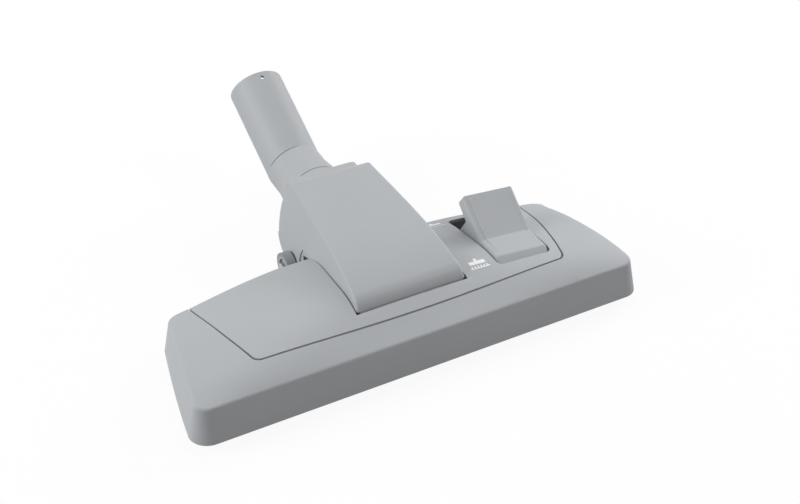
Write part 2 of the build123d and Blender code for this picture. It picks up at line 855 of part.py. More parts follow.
def pedal_plan():
    front_y = pedal_slot_front + pedal_slot_gap - pedal_y
    rear_y = 2 * pedal_tip[0]
    face = Pos(0, (front_y + rear_y) / 2) * Rectangle(2 * pedal_half_width, rear_y - front_y)
    return fillet(face.vertices().sort_by(Axis.Y)[:2], pedal_slot_radius - pedal_slot_gap)


def pedal_hollow():
    front_y = pedal_slot_front + pedal_slot_gap - pedal_y + pedal_wall
    deep = -front_height
    heel_y = pedal_heel[0] - pedal_wall
    under_top = pedal_front_top[1] - pedal_wall
    inner_end = pedal_heel_top[0] - 2 * pedal_wall
    points = [
        (front_y, deep),
        (front_y, pedal_front_height - pedal_wall / 2),
        (pedal_front_top[0], under_top),
        (pedal_valley[0] + pedal_wall / 2, under_top),
        on_wing(inner_end, pedal_wall),
        (pedal_heel_top[0] - pedal_wall, pedal_heel_top[1] - pedal_wall / 2),
        (heel_y, pedal_heel[1] - pedal_wall / 2),
        (heel_y, deep),
    ]
    return make_face(Polyline(*points, close=True))


def pedal_pocket():
    start = pedal_heel_top[0] + pedal_wall / 2
    end = wing_length - pedal_wall
    deep = 2 * pedal_tip_thickness
    corners = [on_wing(start, pedal_wall), on_wing(end, pedal_wall), on_wing(end, deep), on_wing(start, deep)]
    return make_face(Polyline(*corners, close=True))


def make_pedal():
    half = pedal_half_width
    body = side_prism(pedal_outline(), 2 * half) & column(pedal_plan(), (-tall, tall))
    rims = [e for e in body.edges() if abs(e.center().X) > half / 2 and on_top(e.center())]
    body = fillet(rims, pedal_edge_radius)
    body -= side_prism(pedal_hollow(), half - pedal_wall)
    body -= side_prism(pedal_pocket(), half - pedal_wall)
    body += rod_x(pedal_hub_radius, (-half, half), 0, 0)
    body += make_crank()
    body -= rod_x(pedal_pin_radius + pedal_pin_gap, (-head_width, head_width), 0, 0)
    return pedal_frame * body


def on_top(point):
    below = (point.Y - pedal_valley[0]) * wing_climb - (point.Z - pedal_valley[1]) * wing_run
    over_wing = below / wing_length < pedal_tip_thickness / 2 + pedal_wall
    return point.Z > pedal_wall and over_wing


def make_crank():
    peg_y, peg_z = crank_peg_place()
    roof = pedal_front_top[1] - pedal_wall / 2
    reach = peg_radius + pedal_wall / 2
    low_points = [(0, -pedal_hub_radius / 2), (peg_y, peg_z - reach), (peg_y - reach, peg_z)]
    points = low_points + [(peg_y - reach, roof), (0, roof)]
    arm = side_prism(make_face(Polyline(*points, close=True)), crank_width / 2)
    return arm + rod_x(peg_radius, (0, crank_width / 2 + peg_length), peg_y, peg_z)


# The whole part

def all_pieces():
    shell = head_shell()
    front_strip_y = mouth_front - lifter_setback - lifter_width
    pieces = {
        "base_housing": make_base_housing(shell),
        "top_cover": make_top_cover(shell),
        "sole_plate": make_sole_plate(),
        "front_thread_lifter": make_thread_lifter(front_strip_y),
        "rear_thread_lifter": make_thread_lifter(mouth_rear + lifter_setback),
        "cover_screws": make_screws(cover_screw_places, sole_thickness, cover_screw_length),
        "sole_screws": make_screws(sole_screw_places, 0, sole_screw_length),
        "left_neck_pin": make_neck_pin(-1),
        "right_neck_pin": make_neck_pin(1),
        "pedal_pin": make_pedal_pin(),
        "detent_spring": make_detent_spring(),
        "drum_seal": make_drum_seal(),
        "neck_upper_shell": make_neck_upper_shell(),
        "neck_lower_shell": make_neck_lower_shell(),
        "neck_collar": make_neck_collar(),
        "swivel_seal": make_swivel_seal(),
        "neck_screws": make_screws(neck_screw_places, neck_floor_z + screw_head_height, neck_screw_length),
        "wheel_axle": make_wheel_axle(),
        "axle_caps": make_axle_caps(),
        "swivel_elbow": make_swivel_elbow(),
        "left_wheel": make_wheel(-1),
        "right_wheel": make_wheel(1),
        "left_tyre": make_tyre(-1),
        "right_tyre": make_tyre(1),
        "pedal": make_pedal(),
        "brush_carriage": make_brush_carriage(),
    }
    for name, y in brush_lines.items():
        pieces[name + "_brush_back"] = make_brush_back(y)
        pieces[name + "_bristles"] = make_bristles(y)
    return pieces


os.makedirs("parts", exist_ok=True)
to_floor = Pos(0, -(front_end + rear_end) / 2, brush_reach)
for name, piece in all_pieces().items():
    export_step(to_floor * piece, "parts/" + name + ".step")
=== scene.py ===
import json
import random
import bmesh
import bpy
from math import atan2, cos, degrees, hypot, radians, sin, sqrt
from mathutils import Matrix, Vector, noise
from mathutils.bvhtree import BVHTree


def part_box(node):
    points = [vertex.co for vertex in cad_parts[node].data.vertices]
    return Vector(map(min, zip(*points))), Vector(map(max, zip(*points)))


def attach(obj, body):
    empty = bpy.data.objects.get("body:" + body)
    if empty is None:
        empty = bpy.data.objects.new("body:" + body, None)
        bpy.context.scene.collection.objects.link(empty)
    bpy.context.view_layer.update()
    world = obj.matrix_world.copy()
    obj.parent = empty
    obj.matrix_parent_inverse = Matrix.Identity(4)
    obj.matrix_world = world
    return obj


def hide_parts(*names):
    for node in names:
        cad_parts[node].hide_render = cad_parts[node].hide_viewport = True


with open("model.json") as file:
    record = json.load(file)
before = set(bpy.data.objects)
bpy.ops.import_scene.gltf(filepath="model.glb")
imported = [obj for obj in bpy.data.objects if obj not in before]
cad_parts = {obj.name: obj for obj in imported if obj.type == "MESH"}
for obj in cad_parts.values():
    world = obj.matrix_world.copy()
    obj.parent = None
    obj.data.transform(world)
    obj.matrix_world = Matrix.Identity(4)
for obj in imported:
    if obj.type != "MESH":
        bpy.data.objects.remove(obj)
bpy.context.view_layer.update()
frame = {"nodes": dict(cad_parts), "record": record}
nodes = frame["nodes"]
mm = 0.001
print("frame loaded,", len(nodes), "CAD nodes")


# small helpers

def linear(hexColour):
    parts = [int(hexColour[i:i + 2], 16) / 255 for i in (1, 3, 5)]
    return [c / 12.92 if c <= 0.04045 else ((c + 0.055) / 1.055) ** 2.4 for c in parts] + [1.0]


def addNode(tree, kind, settings=None, values=None, links=None):
    node = tree.nodes.new(kind)
    for name, value in (settings or {}).items():
        setattr(node, name, value)
    for name, value in (values or {}).items():
        node.inputs[name].default_value = value
    for name, socket in (links or {}).items():
        tree.links.new(socket, node.inputs[name])
    return node


def perMetre(sizeMm):
    return 1 / (sizeMm * mm)


def newMaterial(name):
    material = bpy.data.materials.new(name)
    material.use_nodes = True
    tree = material.node_tree
    tree.nodes.clear()
    place = addNode(tree, "ShaderNodeTexCoord").outputs["Object"]
    return material, tree, place


def closeMaterial(tree, values, links):
    surface = addNode(tree, "ShaderNodeBsdfPrincipled", None, values, links)
    addNode(tree, "ShaderNodeOutputMaterial", None, None, {"Surface": surface.outputs["BSDF"]})


def twoTone(tree, factor, dark, light):
    ramp = addNode(tree, "ShaderNodeValToRGB", None, None, {"Fac": factor})
    ramp.color_ramp.elements[0].color = linear(dark)
    ramp.color_ramp.elements[1].color = linear(light)
    return ramp.outputs["Color"]


def spread(tree, factor, low, high):
    values = {"From Min": 0.3, "From Max": 0.7, "To Min": low, "To Max": high}
    return addNode(tree, "ShaderNodeMapRange", None, values, {"Value": factor}).outputs["Result"]


def noiseFactor(tree, place, sizeMm, detail, roughness):
    values = {"Scale": perMetre(sizeMm), "Detail": detail, "Roughness": roughness}
    return addNode(tree, "ShaderNodeTexNoise", None, values, {"Vector": place}).outputs["Fac"]


def bumpNormal(tree, height, strength, depth):
    values = {"Strength": strength, "Distance": depth}
    return addNode(tree, "ShaderNodeBump", None, values, {"Height": height}).outputs["Normal"]


def makePiece(name, bm, material, body, replaced=()):
    mesh = bpy.data.meshes.new(name)
    bm.to_mesh(mesh)
    bm.free()
    mesh.materials.append(material)
    piece = bpy.data.objects.new(name, mesh)
    bpy.context.scene.collection.objects.link(piece)
    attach(piece, body)
    if replaced:
        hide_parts(*replaced)
    return piece


# materials

def mouldedAbs(name, finish):
    # ABS, injection moulded in a spark-eroded tool: matte, with a fine even grain and no clear gloss
    material, tree, place = newMaterial(name)
    grain = noiseFactor(tree, place, finish["grainMm"], detail=2.0, roughness=0.6)
    flow = noiseFactor(tree, place, finish["flowMm"], detail=3.0, roughness=0.5)
    mixed = addNode(tree, "ShaderNodeMix", {"data_type": "FLOAT"}, {"Factor": finish["grainShare"]},
                    {"A": flow, "B": grain})
    colour = twoTone(tree, mixed.outputs["Result"], finish["dark"], finish["light"])
    rough = spread(tree, grain, finish["roughLow"], finish["roughHigh"])
    bump = bumpNormal(tree, grain, finish["bump"], depth=0.08 * mm)
    closeMaterial(tree, {"IOR": 1.5, "Specular IOR Level": 0.4},
                  {"Base Color": colour, "Roughness": rough, "Normal": bump})
    return material


def brushedSteel(name, finish):
    # steel sheet or turned steel; where stretch is small, brushed along the head in long fine streaks
    material, tree, place = newMaterial(name)
    stretched = addNode(tree, "ShaderNodeMapping", None, {"Scale": (finish["stretch"], 1.0, 1.0)},
                        {"Vector": place})
    streak = noiseFactor(tree, stretched.outputs["Vector"], finish["streakMm"], detail=4.0,
                         roughness=0.65)
    colour = twoTone(tree, streak, finish["dark"], finish["light"])
    rough = spread(tree, streak, finish["roughLow"], finish["roughHigh"])
    bump = bumpNormal(tree, streak, finish["bump"], depth=0.03 * mm)
    closeMaterial(tree, {"Metallic": 1.0}, {"Base Color": colour, "Roughness": rough, "Normal": bump})
    return material


def softRubber(name, finish):
    # moulded elastomer: dull, a little dusty in its pores
    material, tree, place = newMaterial(name)
    pores = noiseFactor(tree, place, finish["poreMm"], detail=4.0, roughness=0.6)
    colour = twoTone(tree, pores, finish["dark"], finish["light"])
    rough = spread(tree, pores, finish["roughLow"], finish["roughHigh"])
    bump = bumpNormal(tree, pores, finish["bump"], depth=0.1 * mm)
    closeMaterial(tree, {"IOR": 1.5, "Specular IOR Level": 0.3},
                  {"Base Color": colour, "Roughness": rough, "Normal": bump})
    return material


def fibreCloth(name, finish):
    # velour or felt: cut fibres that scatter light at the rim, in lighter and darker clumps of pile
    material, tree, place = newMaterial(name)
    clump = noiseFactor(tree, place, finish["clumpMm"], detail=3.0, roughness=0.6)
    strand = noiseFactor(tree, place, finish["strandMm"], detail=2.0, roughness=0.7)
    mixed = addNode(tree, "ShaderNodeMix", {"data_type": "FLOAT"}, {"Factor": 0.5},
                    {"A": clump, "B": strand})
    colour = twoTone(tree, mixed.outputs["Result"], finish["dark"], finish["light"])
    bump = bumpNormal(tree, strand, strength=0.6, depth=0.15 * mm)
    fibre = {"Roughness": 0.95, "Specular IOR Level": 0.15, "Sheen Weight": 0.5, "Sheen Roughness": 0.5}
    closeMaterial(tree, fibre, {"Base Color": colour, "Normal": bump})
    return material


greyPlastic = {
    "grainMm": 0.9,  # the true grain is about 0.1 mm, drawn coarser so that it shows
    "flowMm": 45.0,
    "grainShare": 0.45,
    "dark": "#aaadb0",
    "light": "#b6b9bc",
    "roughLow": 0.5,
    "roughHigh": 0.62,
    "bump": 0.16,
}
coverPlastic = dict(greyPlastic, dark="#abaeb1", light="#b7babd")
darkPlastic = dict(greyPlastic, grainMm=0.6, dark="#2c2e30", light="#3a3c3f", roughLow=0.42,
                   roughHigh=0.55)
soleSteel = {"stretch": 0.02, "streakMm": 0.5, "dark": "#a9acae", "light": "#cdd0d2",
             "roughLow": 0.24, "roughHigh": 0.38, "bump": 0.12}
zincSteel = dict(soleSteel, stretch=1.0, streakMm=0.8, dark="#9fa3a6", light="#c3c6c8",
                 bump=0.08)
springSteel = dict(soleSteel, stretch=1.0, streakMm=0.6, dark="#7d8184", light="#9a9ea1")
sealRubber = {"poreMm": 0.7, "dark": "#1f2021", "light": "#2d2e30",
              "roughLow": 0.6, "roughHigh": 0.75, "bump": 0.2}
tyreRubber = dict(sealRubber, dark="#8f9295", light="#9fa2a5", roughLow=0.65, roughHigh=0.8)
velourPile = {"clumpMm": 5.0, "strandMm": 0.5, "dark": "#3b3d40", "light": "#6a6d70"}
feltWool = {"clumpMm": 3.0, "strandMm": 0.6, "dark": "#55585a", "light": "#85888a"}

finishes = {
    "headAbs": mouldedAbs("abs_moulded_grey_head", greyPlastic),
    "coverAbs": mouldedAbs("abs_moulded_grey_cover", coverPlastic),
    "neckAbs": mouldedAbs("abs_moulded_grey_neck", greyPlastic),
    "elbowAbs": mouldedAbs("abs_moulded_grey_elbow", greyPlastic),
    "pedalAbs": mouldedAbs("abs_moulded_grey_pedal", coverPlastic),
    "wheelAbs": mouldedAbs("abs_moulded_grey_wheel", greyPlastic),
    "darkAcetal": mouldedAbs("acetal_moulded_dark", darkPlastic),
    "soleSteel": brushedSteel("stainless_brushed", soleSteel),
    "zincSteel": brushedSteel("steel_zinc_plated", zincSteel),
    "springSteel": brushedSteel("steel_spring_tempered", springSteel),
    "sealRubber": softRubber("nitrile_rubber", sealRubber),
    "tyreRubber": softRubber("elastomer_grey", tyreRubber),
    "velour": fibreCloth("nylon_velour", velourPile),
    "felt": fibreCloth("wool_felt", feltWool),
}
print("materials made,", len(finishes))


# finish of every CAD node that stays
nodeFinish = {
    "neckAbs": ["neck_lower_shell", "neck_collar"],
    "wheelAbs": ["left_wheel", "right_wheel"],
    "tyreRubber": ["left_tyre", "right_tyre"],
    "darkAcetal": ["brush_carriage", "front_brush_back", "rear_brush_back"],
    "soleSteel": ["sole_plate"],
    "zincSteel": ["cover_screws", "sole_screws", "neck_screws", "left_neck_pin", "right_neck_pin",
                  "pedal_pin", "wheel_axle", "axle_caps"],
    "springSteel": ["detent_spring"],
    "sealRubber": ["swivel_seal"],
}
for finish, names in nodeFinish.items():
    for name in names:
        nodes[name].data.materials.clear()
        nodes[name].data.materials.append(finishes[finish])
print("CAD nodes dressed")


# finer forms of the plastic pieces, each worked on a copy of its solid
copies = {"weld": 0.001 * mm, "sharpAngle": 35.0}


def copyNode(name):
    bm = bmesh.new()
    bm.from_mesh(nodes[name].data)
    bmesh.ops.remove_doubles(bm, verts=bm.verts[:], dist=copies["weld"])
    return bm


def smoothPiece(piece):
    mesh = piece.data
    if "custom_normal" in mesh.attributes:
        mesh.attributes.remove(mesh.attributes["custom_normal"])
    for polygon in mesh.polygons:
        polygon.use_smooth = True
    mesh.set_sharp_from_angle(angle=radians(copies["sharpAngle"]))


def jointPlace(name):
    for joint in frame["record"]["behaviour"]["joints"]:
        if joint["name"] == name:
            return Vector(joint["pos_m"])


# the wedge's nose, where the top rolls over into the drum
neckNose = {
    "drumRadius": 20.0 * mm,
    "noseAngle": 147.0,  # where the top meets the drum, seen from the hinge
    "topSlope": 25.0,
    "roll": 14.0 * mm,
    "rows": 12,
    "wall": 5.0 * mm,
}


def makeNeckWedge():
    hinge = jointPlace("neck_tilt")
    drum = neckNose["drumRadius"]
    roll = neckNose["roll"]
    nose = radians(neckNose["noseAngle"])
    corner = hinge + drum * Vector((0, cos(nose), sin(nose)))
    slope = radians(neckNose["topSlope"])
    alongTop = Vector((0, cos(slope), sin(slope)))
    upTop = Vector((0, -sin(slope), cos(slope)))
    hingeDepth = (corner - hinge).dot(upTop)
    # the round touches the top from below and the drum from inside
    back = -sqrt((drum - roll) ** 2 - (hingeDepth - roll) ** 2)
    centre = hinge + alongTop * back + upTop * (hingeDepth - roll)
    centre.x = 0
    topAngle = atan2(upTop.z, upTop.y)
    drumWay = centre - hinge
    drumAngle = atan2(drumWay.z, drumWay.y)
    bm = copyNode("neck_upper_shell")
    for i in range(neckNose["rows"] + 1):
        angle = topAngle + (drumAngle - topAngle) * i / neckNose["rows"]
        near = [f for f in bm.faces if min(v.co.y for v in f.verts) < corner.y + roll
                and max(v.co.z for v in f.verts) > hinge.z]
        corners = list({v for f in near for v in f.verts})
        sides = list({e for f in near for e in f.edges})
        bmesh.ops.bisect_plane(bm, geom=corners + sides + near, plane_co=centre,
                               plane_no=(0, -sin(angle), cos(angle)))
    bmesh.ops.triangulate(bm, faces=[f for f in bm.faces if len(f.verts) > 3])
    for v in bm.verts:
        flat = Vector((0, v.co.y - centre.y, v.co.z - centre.z))
        angle = atan2(flat.z, flat.y)
        if not topAngle < angle < drumAngle or abs(flat.length - roll) > neckNose["wall"]:
            continue
        way = flat.normalized()
        toTop = roll / way.dot(upTop)
        along = drumWay.dot(way)
        toDrum = -along + sqrt(along ** 2 - drumWay.length_squared + drum ** 2)
        v.co -= way * (min(toTop, toDrum) - roll)
    piece = makePiece("neckWedge", bm, finishes["neckAbs"], "neck",
                      ["neck_upper_shell"])
    smoothPiece(piece)


makeNeckWedge()
print("neck wedge made")


# the head's rear corners in plan, tighter than the solid's
rearCorner = {
    "point": (124.0 * mm, -36.956 * mm),  # where the end and rear edges would meet
    "endWay": (16.0, -84.0),
    "rearWay": (-72.0, 11.0),
    "solidRadius": 13.0 * mm,
    "radius": 8.0 * mm,
    "wall": 4.0 * mm,
    "margin": 0.02,
}


def makeHeadBody():
    ways = [Vector(rearCorner[name]).normalized() for name in ("endWay", "rearWay")]
    inward = (ways[0] + ways[1]).normalized()
    grip = abs(inward.x * ways[0].y - inward.y * ways[0].x)
    point = Vector(rearCorner["point"])
    solidCentre = point + inward * rearCorner["solidRadius"] / grip
    centre = point + inward * rearCorner["radius"] / grip
    bm = copyNode("base_housing")
    for v in bm.verts:
        flat = Vector((abs(v.co.x), v.co.y)) - solidCentre
        out = flat.normalized()
        inArc = max(out.dot(way) for way in ways) < rearCorner["margin"]
        if inArc and flat.length > rearCorner["solidRadius"] - rearCorner["wall"]:
            shift = centre - solidCentre + out * (rearCorner["radius"] - rearCorner["solidRadius"])
            v.co.x += shift.x if v.co.x > 0 else -shift.x
            v.co.y += shift.y
    piece = makePiece("headBody", bm, finishes["headAbs"], "head",
                      ["base_housing"])
    smoothPiece(piece)


makeHeadBody()
print("head body made")


# the inset panel, with the wider seam that the real one has round it
coverPanel = {"seam": 0.25 * mm}


def makeCoverPanel():
    low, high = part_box("top_cover")
    middle = (low + high) / 2
    shrink = [1 - 2 * coverPanel["seam"] / (high[i] - low[i]) for i in (0, 1)]
    bm = copyNode("top_cover")
    bmesh.ops.scale(bm, verts=bm.verts[:], vec=(shrink[0], shrink[1], 1.0),
                    space=Matrix.Translation(-middle))
    piece = makePiece("coverPanel", bm, finishes["coverAbs"], "head",
                      ["top_cover"])
    smoothPiece(piece)
    return piece


panel = makeCoverPanel()
print("cover panel made")


# the pedal's tread, raised a little inside a plain rim
pedalTread = {
    "roll": 5.0,
    "rim": 2.0 * mm,
    "slope": 0.25 * mm,
    "rise": 0.55 * mm,
    "level": 7.0 * mm,
    "front": -16.5 * mm,
    "fadeBefore": -14.0 * mm,
    "rear": 22.5 * mm,
    "tilt": 0.02,
    "upward": 0.75,
}


def makePedalTread():
    pivot = jointPlace("pedal_rock")
    roll = radians(pedalTread["roll"])
    acrossWay = Vector((cos(roll), 0, -sin(roll)))
    upWay = Vector((sin(roll), 0, cos(roll)))
    bm = copyNode("pedal")
    bm.normal_update()
    tread = []
    for f in bm.faces:
        place = f.calc_center_median() - pivot
        level = abs(f.normal.dot(acrossWay)) < pedalTread["tilt"]
        upright = level and f.normal.dot(upWay) > pedalTread["upward"]
        inside = pedalTread["front"] < place.y < pedalTread["rear"]
        if upright and inside and place.dot(upWay) > pedalTread["level"]:
            tread.append(f)
    bmesh.ops.inset_region(bm, faces=tread, thickness=pedalTread["rim"], use_even_offset=True)
    bmesh.ops.inset_region(bm, faces=tread, thickness=pedalTread["slope"],
                           depth=pedalTread["rise"], use_even_offset=True)
    for v in {v for f in tread for v in f.verts}:
        if v.co.y - pivot.y < pedalTread["fadeBefore"]:  # no step at the front edge
            v.co -= upWay * pedalTread["rise"]
    piece = makePiece("pedalTread", bm, finishes["pedalAbs"], "pedal", ["pedal"])
    smoothPiece(piece)


makePedalTread()
print("pedal tread made")


# the elbow's short crease at its bend and the lock hole on top of its rim
elbowTube = {
    "bendAngle": 16.75,
    "wandAngle": 28.5,
    "wandLength": 64.4 * mm,
    "tubeRadius": 18.0 * mm,
    "skinShare": 0.95,
    "creaseWidth": 0.7 * mm,
    "creaseDepth": 0.9 * mm,
    "creaseSlack": 0.0875 * mm,
    "creaseMiddle": 55.0,
    "creaseHalf": 42.0,
    "creaseRows": (-5.0, -2.0, -0.5, 0.5, 2.0, 5.0),  # cuts beside the crease, in crease widths
    "holeRadius": 1.3 * mm,
    "holeMargin": 1.05,
    "holeSetback": 4.5 * mm,
    "holeSides": 24,
}


def cutWith(piece, bm):
    mesh = bpy.data.meshes.new("drill")
    bm.to_mesh(mesh)
    bm.free()
    drill = bpy.data.objects.new("drill", mesh)
    bpy.context.scene.collection.objects.link(drill)
    cut = piece.modifiers.new("cut", "BOOLEAN")
    cut.operation = "DIFFERENCE"
    cut.solver = "EXACT"
    cut.object = drill
    bpy.context.view_layer.update()
    solved = bpy.data.meshes.new_from_object(piece.evaluated_get(bpy.context.evaluated_depsgraph_get()))
    piece.modifiers.clear()
    solved.name = piece.name
    piece.data = solved
    bpy.data.objects.remove(drill)
    bpy.data.meshes.remove(mesh)


def creaseWeight(angle):
    share = (angle - elbowTube["creaseMiddle"]) / elbowTube["creaseHalf"]
    return max(0.0, 1.0 - share ** 2)


def makeElbowTube():
    kink = jointPlace("elbow_swivel")
    bend = radians(elbowTube["bendAngle"])
    wand = radians(elbowTube["wandAngle"])
    bendWay = Vector((0, cos(bend), sin(bend)))
    bendUp = Vector((0, -sin(bend), cos(bend)))
    wandWay = Vector((0, cos(wand), sin(wand)))
    wandUp = Vector((0, -sin(wand), cos(wand)))
    bm = copyNode("swivel_elbow")
    for share in elbowTube["creaseRows"]:
        bmesh.ops.bisect_plane(bm, geom=bm.verts[:] + bm.edges[:] + bm.faces[:],
                               dist=copies["weld"], plane_no=bendWay,
                               plane_co=kink + bendWay * share * elbowTube["creaseWidth"])
    for v in bm.verts:
        offset = v.co - kink
        inPlane = abs(offset.dot(bendWay)) < elbowTube["creaseSlack"]
        if inPlane and offset.length > elbowTube["tubeRadius"] * elbowTube["skinShare"]:
            angle = degrees(atan2(offset.dot(bendUp), -offset.x))
            v.co -= offset.normalized() * elbowTube["creaseDepth"] * creaseWeight(angle)
    # the solid's own hole is underneath: it is closed, and the same hole is cut on top
    holeFoot = kink + wandWay * (elbowTube["wandLength"] - elbowTube["holeSetback"])
    holeReach = elbowTube["holeRadius"] * elbowTube["holeMargin"]
    wall = []
    for f in bm.faces:
        offsets = [v.co - holeFoot for v in f.verts]
        below = all(o.dot(wandUp) < 0 for o in offsets)
        if below and all(hypot(o.x, o.dot(wandWay)) < holeReach for o in offsets):
            wall.append(f)
    bmesh.ops.delete(bm, geom=wall, context="FACES")
    rims = [e for e in bm.edges if len(e.link_faces) == 1]
    bmesh.ops.holes_fill(bm, edges=rims, sides=0)
    bmesh.ops.triangulate(bm, faces=[f for f in bm.faces if len(f.verts) > 4])
    piece = makePiece("elbowTube", bm, finishes["elbowAbs"], "elbow",
                      ["swivel_elbow"])
    drill = bmesh.new()
    bmesh.ops.create_cone(drill, cap_ends=True, segments=elbowTube["holeSides"],
                          radius1=elbowTube["holeRadius"], radius2=elbowTube["holeRadius"],
                          depth=elbowTube["tubeRadius"])
    turn = Vector((0, 0, 1)).rotation_difference(wandUp).to_matrix()
    bmesh.ops.rotate(drill, verts=drill.verts[:], cent=(0, 0, 0), matrix=turn)
    bmesh.ops.translate(drill, verts=drill.verts[:], vec=holeFoot + wandUp * elbowTube["tubeRadius"])
    cutWith(piece, drill)
    smoothPiece(piece)


makeElbowTube()
print("elbow tube made")


# bristle tufts, each a bundle of tapered filaments
tufts = {
    "pitch": 5.0 * mm,
    "perRow": 4,
    "spreadX": 2.9 * mm,
    "spreadY": 2.6 * mm,
    "jitter": 0.1 * mm,
    "root": 0.24 * mm,
    "tip": 0.16 * mm,
    "lean": 0.25 * mm,
    "sides": 5,
    "seed": 7,
    "strandMm": 0.8,
    "dark": "#26282a",
    "light": "#47494c",
    "roughLow": 0.32,
    "roughHigh": 0.46,
}


def bristleNylon():
    # nylon filament, drawn and cut: dark, with a soft sheen along each strand
    material, tree, place = newMaterial("nylon_filament")
    strand = noiseFactor(tree, place, tufts["strandMm"], detail=2.0, roughness=0.6)
    colour = twoTone(tree, strand, tufts["dark"], tufts["light"])
    rough = spread(tree, strand, tufts["roughLow"], tufts["roughHigh"])
    closeMaterial(tree, {"IOR": 1.53, "Specular IOR Level": 0.5},
                  {"Base Color": colour, "Roughness": rough})
    return material


def makeTufts(name, node, material):
    draw = random.Random(tufts["seed"])
    low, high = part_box(node)
    depth = high.z - low.z
    count = round((high.x - low.x) / tufts["pitch"])
    middle = (low + high) / 2
    bm = bmesh.new()
    for i in range(count):
        tuftX = middle.x + (i - (count - 1) / 2) * tufts["pitch"]
        for column in range(tufts["perRow"]):
            for row in range(tufts["perRow"]):
                share = Vector((column, row)) / (tufts["perRow"] - 1) - Vector((0.5, 0.5))
                footX = tuftX + share.x * tufts["spreadX"] + draw.uniform(-1, 1) * tufts["jitter"]
                footY = middle.y + share.y * tufts["spreadY"] + draw.uniform(-1, 1) * tufts["jitter"]
                made = bmesh.ops.create_cone(bm, cap_ends=True, segments=tufts["sides"],
                                             radius1=tufts["tip"], radius2=tufts["root"],
                                             depth=depth)
                lean = Vector((draw.uniform(-1, 1), draw.uniform(-1, 1), 0)) * tufts["lean"]
                bmesh.ops.translate(bm, verts=made["verts"], vec=(footX, footY, middle.z))
                tips = [v for v in made["verts"] if v.co.z < middle.z]
                bmesh.ops.translate(bm, verts=tips, vec=lean)
    makePiece(name, bm, material, "brush", [node])


nylon = bristleNylon()
for rowName in ("front", "rear"):
    makeTufts(rowName + "Tufts", rowName + "_bristles", nylon)
print("bristle tufts made")


# velour strips beside the mouth: a woven backing with slanted pile on its lower face
velourStrip = {
    "backing": 0.35 * mm,
    "edge": 0.5 * mm,
    "pileStep": 0.95 * mm,
    "scatter": 0.2,  # share of the step
    "pileWidth": 0.34 * mm,
    "pileSides": 4,
    "tipShare": 0.7,
    "shortest": 0.8,
    "slant": 0.35 * mm,
    "seed": 11,
}


def makeVelour(name, node):
    draw = random.Random(velourStrip["seed"])
    low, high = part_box(node)
    size = high - low
    backLow = high.z - velourStrip["backing"]
    bm = bmesh.new()
    made = bmesh.ops.create_cube(bm, size=1.0)
    bmesh.ops.scale(bm, verts=made["verts"], vec=(size.x, size.y, velourStrip["backing"]))
    bmesh.ops.translate(bm, verts=made["verts"],
                        vec=((low.x + high.x) / 2, (low.y + high.y) / 2, (backLow + high.z) / 2))
    upright = [e for e in bm.edges
               if abs(e.verts[0].co.z - e.verts[1].co.z) > velourStrip["backing"] / 2]
    bmesh.ops.bevel(bm, geom=upright, offset=velourStrip["edge"], offset_type="OFFSET", segments=3,
                    profile=0.5, affect="EDGES", material=-1)
    step = velourStrip["pileStep"]
    columns = int((size.x - step) / step)
    rows = int((size.y - step) / step)
    drop = backLow - low.z
    scatter = velourStrip["scatter"]
    for i in range(columns + 1):
        for j in range(rows + 1):
            x = (low.x + high.x) / 2 + (i - columns / 2 + draw.uniform(-1, 1) * scatter) * step
            y = (low.y + high.y) / 2 + (j - rows / 2 + draw.uniform(-1, 1) * scatter) * step
            length = drop * draw.uniform(velourStrip["shortest"], 1.0)
            made = bmesh.ops.create_cone(bm, cap_ends=True, segments=velourStrip["pileSides"],
                                         radius1=velourStrip["pileWidth"] * velourStrip["tipShare"],
                                         radius2=velourStrip["pileWidth"], depth=length)
            bmesh.ops.translate(bm, verts=made["verts"], vec=(x, y, backLow - length / 2))
            tips = [v for v in made["verts"] if v.co.z < backLow - length / 2]
            bmesh.ops.translate(bm, verts=tips,
                                vec=(draw.uniform(-1, 1) * velourStrip["slant"], 0, 0))
    makePiece(name, bm, finishes["velour"], "head", [node])


makeVelour("frontVelour", "front_thread_lifter")
makeVelour("rearVelour", "rear_thread_lifter")
print("velour strips made")


# felt strip against the neck drum
feltStrip = {"cut": 0.9 * mm, "round": 0.35 * mm, "fuzz": 0.08 * mm, "fuzzSize": 1.1 * mm}


def makeFelt(name, node):
    low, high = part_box(node)
    size = high - low
    bm = bmesh.new()
    made = bmesh.ops.create_cube(bm, size=1.0)
    bmesh.ops.scale(bm, verts=made["verts"], vec=size)
    bmesh.ops.translate(bm, verts=made["verts"], vec=(low + high) / 2)
    bmesh.ops.bevel(bm, geom=bm.edges[:], offset=feltStrip["round"], offset_type="OFFSET", segments=2,
                    profile=0.5, affect="EDGES", material=-1)
    longEdges = [e for e in bm.edges if abs(e.verts[0].co.x - e.verts[1].co.x) > size.x / 2]
    bmesh.ops.subdivide_edges(bm, edges=longEdges, cuts=int(size.x / feltStrip["cut"]),
                              use_grid_fill=True)
    middle = (low + high) / 2
    for v in bm.verts:
        inward = (middle - v.co).normalized()
        wave = noise.noise(v.co / feltStrip["fuzzSize"])
        v.co += inward * abs(wave) * feltStrip["fuzz"]
    makePiece(name, bm, finishes["felt"], "head", [node])


makeFelt("drumFelt", "drum_seal")
print("felt strip made")


